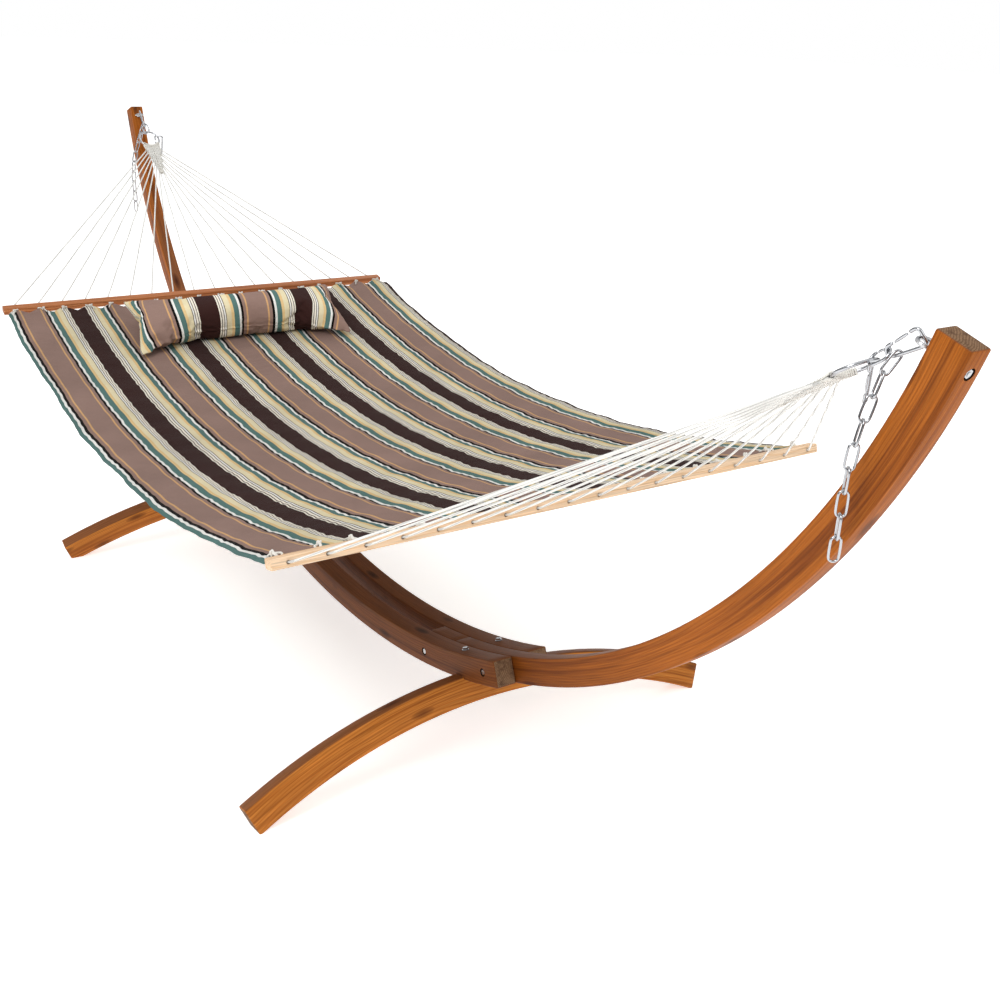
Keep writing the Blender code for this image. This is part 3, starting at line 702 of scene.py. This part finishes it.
def build_timber():
    half = MEMBER_DEPTH / 2
    for rail, y_sign in (("front_rail", -1), ("back_rail", 1)):
        y_centre = y_sign * RAIL_OFFSET
        piece = timber(rail + "_timber", eased(-RAIL_HALF, RAIL_HALF), RAIL_WIDTH / 2, half,
                       on_arc(1, y_centre), MATERIALS["rail_larch"])
        face = y_sign * (RAIL_OFFSET + RAIL_WIDTH / 2)
        bores = []
        for end, _side in ENDS:
            for number in (1, 2):
                axis = node_centre(f"{end}_side_bolt_{number}")
                bores.append(((axis.x, face + y_sign * 0.01, axis.z),
                              (axis.x, face - y_sign * BORE_DEPTH, axis.z)))
        cut(piece, [], bores)
        finish_timber(piece, arc_grain(1, y_centre, (0.3 + y_sign, 0.01 * y_sign, 0.02)), rail)
    for end, side in ENDS:
        beam = timber(end + "_beam_timber", eased(TONGUE_START, ARC_HALF), BEAM_WIDTH / 2,
                      half, on_arc(side), MATERIALS["larch"])
        x, z = curve_point(EYE_BOLT_AT, half, side)
        face, out = Vector((x, 0.0, z)), outward(EYE_BOLT_AT, side)
        cut(beam, [], [(face + out * 0.01, face - out * BORE_DEPTH)])
        finish_timber(beam, arc_grain(side, 0.0, (3.1 * side + 5, 0.0, 0.015)),
                      end + "_end_beam")
        block = timber(end + "_spacer_timber", eased(SPACER_START, TONGUE_START - 0.0004),
                       BEAM_WIDTH / 2, half, on_arc(side), MATERIALS["rail_larch"])
        finish_timber(block, arc_grain(side, 0.0, (7.3 * side, 0.004, 0.0)),
                      end + "_end_spacer")
        build_cross_foot(end, side)


def build_cross_foot(end, side):
    """The arched foot, square to the rails, its sloping ends cut flat below."""
    centre_z = FOOT_CREST - FOOT_RADIUS
    lean = curve_angle(FOOT_BOLT_AT)

    def place(share, v, away):
        arc = FOOT_LOWER_ARC + (FOOT_UPPER_ARC - FOOT_LOWER_ARC) * (v / FOOT_DEPTH + 0.5)
        angle = share / FOOT_UPPER_ARC * arc / FOOT_RADIUS
        radius = FOOT_RADIUS + v
        height = centre_z + radius * math.cos(angle)
        return (side * (FOOT_X - math.sin(lean) * height + math.cos(lean) * away),
                radius * math.sin(angle), math.cos(lean) * height + math.sin(lean) * away)

    foot = timber(end + "_foot_timber", eased(-FOOT_UPPER_ARC, FOOT_UPPER_ARC),
                  FOOT_WIDTH / 2, FOOT_DEPTH / 2, place, MATERIALS["foot_larch"])
    pack_half = RAIL_OFFSET + RAIL_WIDTH / 2 + 0.0002
    housing_half, housing_gap = 0.05, 0.0003
    steps = [SPACER_START + 0.07 * i for i in range(7)]

    def in_housing(s, v, y):
        return on_arc(side)(s, v - housing_half + MEMBER_DEPTH / 2 + housing_gap, y)

    housing = timber("housing", [(s, 0.0) for s in steps], pack_half, housing_half,
                     in_housing, MATERIALS["larch"])
    below = box_solid((side * FOOT_X - 0.2, -1.0, -0.1), (side * FOOT_X + 0.2, 1.0, 0.0))
    bores = []
    out = outward(FOOT_BOLT_AT, side)
    for y in (-RAIL_OFFSET, RAIL_OFFSET):
        x, z = curve_point(FOOT_BOLT_AT, 0.0, side)
        under = centre_z + math.sqrt((FOOT_RADIUS - FOOT_DEPTH / 2) ** 2 - y * y)
        low = Vector((x, y, z)) + out * (z / math.cos(lean) - under)
        bores.append((low + out * 0.012, low - out * BORE_DEPTH))
    cut(foot, [housing, below], bores)
    finish_timber(foot, foot_grain(side, (11.0 * side, 0.012, 0.01)), end + "_cross_foot")


# ---- metalwork
def refine(node, material, radius):
    """A finer copy of a bent-wire CAD node, in its place.

    Smoothing draws an eight-sided wire in, so it is let out again by half of
    that, which keeps the links clear of each other at the ends of their travel.
    """
    data = NODES[node].data.copy()
    data.name = node + "_bright"
    work = bmesh.new()
    work.from_mesh(data)
    bmesh.ops.remove_doubles(work, verts=work.verts, dist=0.00002)
    bmesh.ops.join_triangles(work, faces=work.faces, angle_face_threshold=0.7,
                             angle_shape_threshold=0.9)
    work.to_mesh(data)
    work.free()
    data.materials.clear()
    data.materials.append(material)
    piece = new_object(node + "_bright", data)
    data.shade_smooth()
    smooth = piece.modifiers.new("smooth", "SUBSURF")
    smooth.levels = smooth.render_levels = 2
    drawn_in = 1 - (4 + 2 * math.cos(math.pi / 4)) / 6
    swell = piece.modifiers.new("swell", "DISPLACE")
    swell.mid_level = 0.0
    swell.strength = 0.5 * radius * drawn_in
    finish_piece(piece, BODY_OF[node], [node])


def build_metalwork():
    for node in sorted(NODES):
        if "bolt" in node:
            paint_node(node, MATERIALS["zinc"])
            continue
        radii = [radius for word, radius in WIRE_RADII if word in node]
        if radii:
            refine(node, MATERIALS["chrome"], radii[0])


# ---- ropes and clews
class Fan:
    """The plane of one end's ropes: its ring, its bar and the pull between."""

    def __init__(self, end, side):
        self.end, self.side = end, side
        vertices = NODES[end + "_ring"].data.vertices
        self.ring = sum((v.co for v in vertices), Vector()) / len(vertices)
        self.ring.y = 0.0
        self.bar = node_centre(end + "_spreader_bar")
        self.bar.y = 0.0
        self.lean = Vector((-side * math.cos(BAR_LEAN), 0.0, -math.sin(BAR_LEAN)))
        self.along = (self.bar - self.ring).normalized()
        self.normal = self.along.cross(Vector((0.0, 1.0, 0.0)))
        if self.normal.z < 0:
            self.normal = -self.normal

    def place(self, s, w, h=0.0):
        """A point this far from the ring, to the side, and above the plane."""
        return self.ring + self.along * s + Vector((0.0, w, 0.0)) + self.normal * h

    def beside_bar(self, y, distance):
        """A point in line with a bar's hole, this far past the bar's middle."""
        return self.bar + Vector((0.0, y, 0.0)) + self.lean * distance


def clew_half(s):
    """Half the clew's width at a distance from the ring's centre."""
    share = (s - RING_RADIUS) / CLEW_LENGTH
    return CLEW_HALF + (CLEW_TIP - CLEW_HALF) * min(max(share, 0.0), 1.0)


def rounded_path(corners, ease=0.012, steps=5):
    """A path through corners, each rounded off over a short length."""
    corners = [Vector(c) for c in corners]
    path = [corners[0]]
    for before, corner, after in zip(corners, corners[1:], corners[2:]):
        reach = min(ease, (corner - before).length * 0.45, (after - corner).length * 0.45)
        start = corner + (before - corner).normalized() * reach
        end = corner + (after - corner).normalized() * reach
        for i in range(steps + 1):
            t = i / steps
            path.append(start * (1 - t) ** 2 + corner * 2 * t * (1 - t) + end * t * t)
    path.append(corners[-1])
    return path


def path_length(path):
    return sum((b - a).length for a, b in zip(path, path[1:]))


def build_ropes(fan):
    """Eighteen cords from the ring through the clew and the bar."""
    rows = HOLE_COUNT // 2
    top = RING_RADIUS + RING_WIRE + ROPE_RADIUS
    back = BAR_THICKNESS / 2 + 0.004
    for number, y in enumerate(HOLES):
        rank = min(number, HOLE_COUNT - 1 - number)
        sign = 1.0 if y > 0 else -1.0
        start_w = (rows - rank - 0.5) / rows * (CLEW_HALF - 0.002)
        start_s = math.sqrt(RING_RADIUS ** 2 - start_w ** 2) + RING_WIRE + ROPE_RADIUS
        leave = top + 0.012 + rank / (rows - 1) * (CLEW_LENGTH - 0.022)
        layer = ROPE_LAYER if number % 2 else -ROPE_LAYER
        corners = [fan.place(start_s, sign * start_w, layer),
                   fan.place(leave, sign * (clew_half(leave) - 0.003), layer),
                   fan.beside_bar(y, -back), fan.beside_bar(y, back),
                   fan.beside_bar(y, back + 0.008)]
        path = rounded_path(corners)
        data = bpy.data.curves.new(f"{fan.end}_rope_{number + 1}", "CURVE")
        data.dimensions = "3D"
        data.bevel_depth = ROPE_RADIUS
        data.bevel_resolution = 3
        data.use_fill_caps = True
        spline = data.splines.new("POLY")
        spline.points.add(len(path) - 1)
        for spline_point, point in zip(spline.points, path):
            spline_point.co = (*point, 1.0)
        data.materials.append(MATERIALS["twisted_cord"])
        rope = new_object(data.name, data)
        finish_piece(rope, "hammock", [fan.end + "_clew_and_ropes"])
        tuple(path[0])
        path_length(path)


def ring_loop(fan, w):
    """A rope's loop round the ring, open towards the clew."""
    wrap = RING_WIRE + 0.0019
    angle = math.asin(w / RING_RADIUS)
    radial = fan.along * math.cos(angle) + Vector((0.0, math.sin(angle), 0.0))
    centre = fan.ring + radial * RING_RADIUS
    loop = []
    for k in range(13):
        turn = math.radians(50 + 260 * k / 12)
        loop.append(centre + wrap * (math.cos(turn) * radial + math.sin(turn) * fan.normal))
    tail = fan.place(RING_RADIUS + 0.014, w * 0.97)
    return [tail + fan.normal * 0.0016] + loop + [tail - fan.normal * 0.0016]


def woven_row(fan, s, sign):
    """A cord that passes over and under the ropes, across the clew."""
    half = clew_half(s)
    waves = max(2, round(half / 0.0034))
    steps = waves * 6
    path = []
    for k in range(steps + 1):
        w = half * (-1 + 2 * k / steps)
        lift = sign * 0.0034 * math.cos(math.pi * waves * k / steps)
        slant = 0.0022 * math.sin(math.pi * k / steps)
        path.append(fan.place(s + slant, w, lift))
    return path


def build_clew(fan):
    """The woven clew: loops on the ring, woven rows, and bands at its tip."""
    parts = []
    for i in range(HOLE_COUNT):
        w = (i + 0.5 - HOLE_COUNT / 2) / (HOLE_COUNT / 2) * (CLEW_HALF - 0.002)
        parts.append(tube(ring_loop(fan, w), LOOP_CORD, 6))
    for row in range(CLEW_ROWS):
        s = RING_RADIUS + 0.009 + row / (CLEW_ROWS - 1) * (CLEW_LENGTH - 0.010)
        for sign in (-1, 1):
            parts.append(tube(woven_row(fan, s, sign), CLEW_CORD, 6))
    tip = RING_RADIUS + CLEW_LENGTH
    for k in range(3):
        band = []
        for j in range(17):
            turn = 2 * math.pi * j / 16
            band.append(fan.place(tip - 0.003 + 0.0036 * k, (CLEW_TIP - 0.0005) * math.cos(turn),
                                  0.0052 * math.sin(turn)))
        parts.append(tube(band, CLEW_CORD, 6))
    weave = join_parts(fan.end + "_clew_weave", parts, MATERIALS["woven_cord"])
    finish_piece(weave, "hammock", [fan.end + "_clew_and_ropes"])


def knot_path(centre, along, normal, size):
    """An overhand knot, its long direction along `along`."""
    across = along.cross(normal)
    path = []
    for i in range(41):
        t = 2 * math.pi * i / 40
        path.append(centre + size * ((math.sin(t) + 2 * math.sin(2 * t)) * along * 0.45
                                     + (math.cos(t) - 2 * math.cos(2 * t)) * across * 0.40
                                     - math.sin(3 * t) * normal * 0.9))
    return path


# ---- bed
X_FOOT = node_centre("foot_spreader_bar").x - HEM_GAP
X_HEAD = node_centre("head_spreader_bar").x + HEM_GAP
SEAM_SHARES = (0.373, 0.79)    # just outside every taupe and every dark band
SEAMS = sorted(STRIPE_CENTRE + STRIPE_HALF * (2 * k + sign * share)
               for k in range(-2, 3) for sign in (-1, 1) for share in SEAM_SHARES)


def bed_line(x):
    """Height of the bed's middle line."""
    return BED_LOW[1] + BED_CURVE * (x - BED_LOW[0]) ** 2


def scallop(y):
    """How far the hem falls back from the bar between two knots."""
    phase = np.pi * (y + HOLE_SPREAD / 2) / HOLE_PITCH
    return 0.013 * (1 - np.abs(np.cos(phase)) ** 0.8)


def seam_puckers(x0, y0):
    """How the cloth crinkles up and down, and sideways, along its seams."""
    lift = np.zeros_like(x0)
    shift = np.zeros_like(x0)
    for number, seam in enumerate(SEAMS):
        near = np.exp(-((y0 - seam) / 0.013) ** 2)
        phase = 1.7 * number + 0.8 * np.sin(7.0 * x0 + number)
        strength = 0.65 + 0.35 * np.sin(23 * x0 + 2.1 * number)
        lift += 0.0010 * near * (np.sin(2 * np.pi * x0 / 0.037 + phase) * strength)
        shift += 0.0011 * near * np.sin(2 * np.pi * x0 / 0.052 + 2.3 * number + np.sin(11 * x0))
    return lift, shift


def bed_surface(x0, y0):
    """Shifted place, middle height, and upper and lower padding, on a grid.

    crown is the padding between two seams, creases run in from the knots, and
    gather is where the cloth is drawn together below the pillow.
    """
    to_head = x0 - X_HEAD
    to_foot = X_FOOT - x0
    x = x0 + scallop(y0) * (np.exp(-to_head / 0.05) - np.exp(-to_foot / 0.05))
    edges = np.array([BED_FRONT] + SEAMS + [BED_BACK])
    index = np.clip(np.searchsorted(edges, y0, side="right") - 1, 0, len(edges) - 2)
    low, high = edges[index], edges[index + 1]
    share = np.clip((y0 - low) / (high - low), 0.0, 1.0)
    crown = (4 * share * (1 - share)) ** 0.55 * (0.0028 + 0.022 * (high - low))
    pucker, shift = seam_puckers(x0, y0)
    y = y0 + shift
    ripple = (0.0011 * np.sin(31 * x0 + 9 * y0 + 2 * np.sin(5 * y0))
              + 0.0009 * np.sin(57 * x0 - 13 * y0 + 3 * np.sin(9 * y0)))
    across = (y0 - (BED_FRONT + BED_BACK) / 2) / ((BED_BACK - BED_FRONT) / 2)
    sag = -0.010 * (1 - across ** 2)
    near_hem = np.exp(-to_head / 0.06) + np.exp(-to_foot / 0.06)
    creases = 0.0042 * np.cos(2 * np.pi * (y0 + HOLE_SPREAD / 2) / HOLE_PITCH) * near_hem
    gather = (0.0024 * np.sin(2 * np.pi * x0 / 0.030 + 4 * y0)
              * np.exp(-((x0 + 0.66) / 0.10) ** 2)
              * np.exp(-((y0 - STRIPE_CENTRE) / 0.035) ** 2))
    edge = np.minimum(y0 - BED_FRONT, BED_BACK - y0)
    roll_down = -0.004 * np.exp(-edge / 0.012)
    y += (0.0035 * np.sin(9.0 * x0 + 1.0) + 0.0015 * np.sin(27 * x0)) * np.exp(-edge / 0.05)
    middle = bed_line(x) + sag + creases + ripple + gather + roll_down
    hem = np.minimum(to_head, to_foot)
    band = 1 - 0.55 * np.exp(-((hem - 0.028) / 0.004) ** 2)
    taper = np.clip(edge / 0.010, 0.0, 1.0) ** 0.5 * np.clip(hem / 0.006, 0.0, 1.0) ** 0.5
    upper = (HALF_PADDING + (crown * band + pucker) * taper) * (0.35 + 0.65 * taper)
    lower = (HALF_PADDING + (crown * 0.7 * band - pucker) * taper) * (0.35 + 0.65 * taper)
    return x, y, middle, upper, lower


def build_bed():
    nx, ny = BED_GRID
    x0, y0 = np.meshgrid(np.linspace(X_HEAD, X_FOOT, nx + 1),
                         np.linspace(BED_FRONT, BED_BACK, ny + 1), indexing="ij")
    x, y, middle, upper, lower = bed_surface(x0, y0)
    top = np.stack([x, y, middle + upper], -1).reshape(-1, 3)
    bottom = np.stack([x, y, middle - lower], -1).reshape(-1, 3)
    base = len(top)
    stride = ny + 1
    faces = []
    for i in range(nx):
        for j in range(ny):
            a = i * stride + j
            faces.append((a, a + stride, a + stride + 1, a + 1))
            faces.append((base + a, base + a + 1, base + a + stride + 1, base + a + stride))
    border = ([i * stride for i in range(nx)] + [nx * stride + j for j in range(ny)]
              + [i * stride + ny for i in range(nx, 0, -1)] + [j for j in range(ny, 0, -1)])
    for a, b in zip(border, border[1:] + border[:1]):
        faces.append((b, a, base + a, base + b))
    bed = mesh_object("quilted_bed_cloth", np.concatenate([top, bottom]).tolist(), faces)
    cloth = np.stack([x0, y0, np.zeros_like(x0)], -1).reshape(-1, 3)
    set_vectors(bed, "cloth", np.concatenate([cloth, cloth]))
    bed.data.materials.append(MATERIALS["bed_cloth"])
    finish_piece(bed, "hammock", ["quilted_bed"])
    line = np.linspace(X_HEAD, X_FOOT, 400)
    length = float(np.hypot(np.diff(line), np.diff(bed_line(line))).sum())
    return bed, length


def bed_point(x, y, lift):
    """A point above the bed's upper face, by its flat coordinates."""
    shifted_x, shifted_y, middle, upper, _lower = (
        float(grid[0, 0]) for grid in bed_surface(np.array([[x]]), np.array([[y]])))
    return Vector((shifted_x, shifted_y, middle + upper + lift))


def build_hem(fan, hem_x):
    """The white lacing at one hem: a cord along the edge, loops and knots."""
    inwards = -fan.side
    upright = Vector((0.0, 0.0, 1.0))
    outset = Vector((0.0012 * fan.side, 0.0, 0.0))
    ys = np.linspace(BED_FRONT + 0.006, BED_BACK - 0.006, 260)
    edge = [bed_point(hem_x, float(y), -0.0012) + outset for y in ys]
    parts = [tube(edge, 0.0019, 6)]
    for number, y in enumerate(HOLES):
        start = fan.beside_bar(y, BAR_THICKNESS / 2 + 0.010)
        lean = 0.007 if number % 2 else -0.006
        eyelet = bed_point(hem_x + inwards * 0.013, y + lean, 0.0035)
        middle = (start + eyelet) / 2 + Vector((0.0, lean * 0.4, 0.0055))
        parts.append(tube(rounded_path([start, middle, eyelet], 0.01, 6), 0.0030, 8))
        under = bed_point(hem_x + inwards * 0.004, y - lean, 0.0035)
        low = (start + under) / 2 + Vector((0.0, -lean * 0.6, 0.004))
        parts.append(tube(rounded_path([start, low, under, eyelet + upright * 0.001], 0.008, 6),
                          0.0022, 8))
        direction = (eyelet - start).normalized()
        knot = knot_path(eyelet + upright * 0.0012, direction, upright, 0.0036)
        parts.append(tube(knot, 0.0024, 6))
        end = bed_point(hem_x + inwards * 0.026, y + 2.2 * lean, 0.003)
        tail = rounded_path([eyelet, (eyelet + end) / 2 + upright * 0.002, end], 0.006, 4)
        parts.append(tube(tail, 0.0019, 6))
    lacing = join_parts(fan.end + "_hem_lacing", parts, MATERIALS["woven_cord"])
    finish_piece(lacing, "hammock")
    return lacing


# ---- pillow
def swell_pillow(pillow):
    """Sew the flat cover up and blow it out with cloth pressure."""
    cloth = pillow.modifiers.new("cloth", "CLOTH")
    settings = cloth.settings
    settings.quality = 6
    settings.mass = 0.15
    settings.tension_stiffness = 18
    settings.compression_stiffness = 12
    settings.shear_stiffness = 6
    settings.bending_stiffness = 0.35
    settings.use_pressure = True
    settings.uniform_pressure_force = 5.0
    settings.effector_weights.gravity = 0.0
    cloth.point_cache.frame_start = 1
    cloth.point_cache.frame_end = 30
    scene = bpy.context.scene
    for number in range(1, SWELLING_FRAMES + 1):
        scene.frame_set(number)
    graph = bpy.context.evaluated_depsgraph_get()
    swollen = bpy.data.meshes.new_from_object(pillow.evaluated_get(graph))
    pillow.modifiers.clear()
    pillow.data = swollen
    scene.frame_set(1)


def build_pillow():
    """Two panels joined round their edges, swollen and laid on the bed."""
    nx, ny = PILLOW_GRID
    length, depth = PILLOW_CUT
    xs = np.linspace(-depth / 2, depth / 2, nx + 1)
    ys = np.linspace(-length / 2, length / 2, ny + 1)
    index, vertices, coords = {}, [], []
    for layer in (1, -1):
        for i, x in enumerate(xs):
            for j, y in enumerate(ys):
                rim = i in (0, nx) or j in (0, ny)
                if rim and layer == -1:
                    index[(layer, i, j)] = index[(1, i, j)]
                    continue
                swell = (1 - (2 * x / depth) ** 2) * (1 - (2 * y / length) ** 4)
                height = layer * (0.002 + 0.012 * swell) * (0 if rim else 1)
                gather = 1.0 + 0.012 * math.sin(150 * y) * (abs(2 * x / depth) ** 6)
                index[(layer, i, j)] = len(vertices)
                vertices.append((x * gather, y, height))
                coords.append((x, y, 0.0))
    faces = []
    for layer in (1, -1):
        for i in range(nx):
            for j in range(ny):
                quad = [index[(layer, i, j)], index[(layer, i + 1, j)],
                        index[(layer, i + 1, j + 1)], index[(layer, i, j + 1)]]
                faces.append(tuple(quad if layer == 1 else quad[::-1]))
    pillow = mesh_object("pillow_cover", vertices, faces)
    set_vectors(pillow, "cloth", coords)
    swell_pillow(pillow)
    place_pillow(pillow)
    pillow.data.materials.clear()
    pillow.data.materials.append(MATERIALS["pillow_cloth"])
    pillow.data.shade_smooth()
    smooth = pillow.modifiers.new("smooth", "SUBSURF")
    smooth.levels = smooth.render_levels = 1
    finish_piece(pillow, "hammock", ["pillow"])


def place_pillow(pillow):
    """Fit the cover to its size and lay it on the bed where its solid is."""
    points = np.array([v.co for v in pillow.data.vertices])
    low, high = points.min(0), points.max(0)
    points = (points - (low + high) / 2) * (np.array(PILLOW_SIZE) / (high - low))
    # The front seam sags on to the bed, and the ends are gathered in pleats.
    forward = points[:, 0] / (PILLOW_SIZE[0] / 2)
    to_end = PILLOW_SIZE[1] / 2 - np.abs(points[:, 1])
    points[:, 0] *= 1 + 0.10 * (1 - (points[:, 1] / (PILLOW_SIZE[1] / 2)) ** 2)
    points[:, 2] *= 1 + 0.16 * np.sin(points[:, 0] * 240) * np.exp(-to_end / 0.030)
    points[:, 2] -= 0.0325 * forward + 0.0125 * forward ** 2 + 0.011
    points[:, 1] -= 0.085 * points[:, 0]
    centre = node_centre("pillow")
    slope = math.atan(2 * BED_CURVE * (centre.x - BED_LOW[0]))
    turn = np.array(Matrix.Rotation(-slope, 3, "Y"))
    points = points @ turn.T
    points[:, 0] += centre.x - 0.005
    points[:, 1] += centre.y - 0.003
    points[:, 2] += centre.z
    floor = bed_line(points[:, 0]) + 0.0075
    sunk = points[:, 2] < floor
    points[sunk, 2] = floor[sunk]
    pillow.data.vertices.foreach_set("co", points.astype(np.float32).ravel())
    pillow.data.update()


# ---- stage
def build_stage():
    data = bpy.data.meshes.new("floor")
    reach = 60.0
    data.from_pydata([(-reach, -reach, 0), (reach, -reach, 0), (reach, reach, 0),
                      (-reach, reach, 0)], [], [(0, 1, 2, 3)])
    floor = new_object("floor", data)
    material, _tree, shader = new_material("floor")
    set_inputs(shader, {"Base Color": (0.93, 0.93, 0.93, 1.0), "Roughness": 0.9,
                        "Specular IOR Level": 0.1, "Emission Color": (1.0, 1.0, 1.0, 1.0),
                        "Emission Strength": 0.56})
    data.materials.append(material)

    world = bpy.data.worlds.new("studio")
    world.use_nodes = True
    tree = world.node_tree
    height = split(tree, source(tree, "ShaderNodeTexCoord", "Generated"))[2]
    sky = ramp(tree, height, [(0.0, (0.08,) * 3), (0.28, (0.22,) * 3),
                              (0.45, (0.72,) * 3), (1.0, (1.0,) * 3)])
    seen = source(tree, "ShaderNodeLightPath", "Is Camera Ray")
    set_inputs(tree.nodes["Background"], {
        "Color": mix(tree, seen, sky, (1.0, 1.0, 1.0, 1.0)), "Strength": 1.0})
    bpy.context.scene.world = world
    for name, place, size, power in (("key", (1.6, -3.4, 4.2), 2.0, 90.0),
                                     ("fill", (4.5, 1.5, 3.0), 2.5, 26.0),
                                     ("back", (-3.2, 3.2, 4.0), 2.5, 36.0)):
        data = bpy.data.lights.new(name, "AREA")
        data.size = size
        data.energy = power
        lamp = new_object(name, data)
        lamp.location = place
        aim = Vector((0.0, 0.0, 0.5)) - Vector(place)
        lamp.rotation_mode = "QUATERNION"
        lamp.rotation_quaternion = aim.to_track_quat("-Z", "Y")


build_stage()
build_timber()
build_metalwork()
bed_cloth, bed_length = build_bed()
for end_name, end_side in ENDS:
    rope_fan = Fan(end_name, end_side)
    build_ropes(rope_fan)
    build_clew(rope_fan)
    build_hem(rope_fan, X_FOOT if end_side > 0 else X_HEAD)
    paint_node(end_name + "_spreader_bar",
               MATERIALS["pale_pine" if end_side > 0 else "red_pine"])
build_pillow()
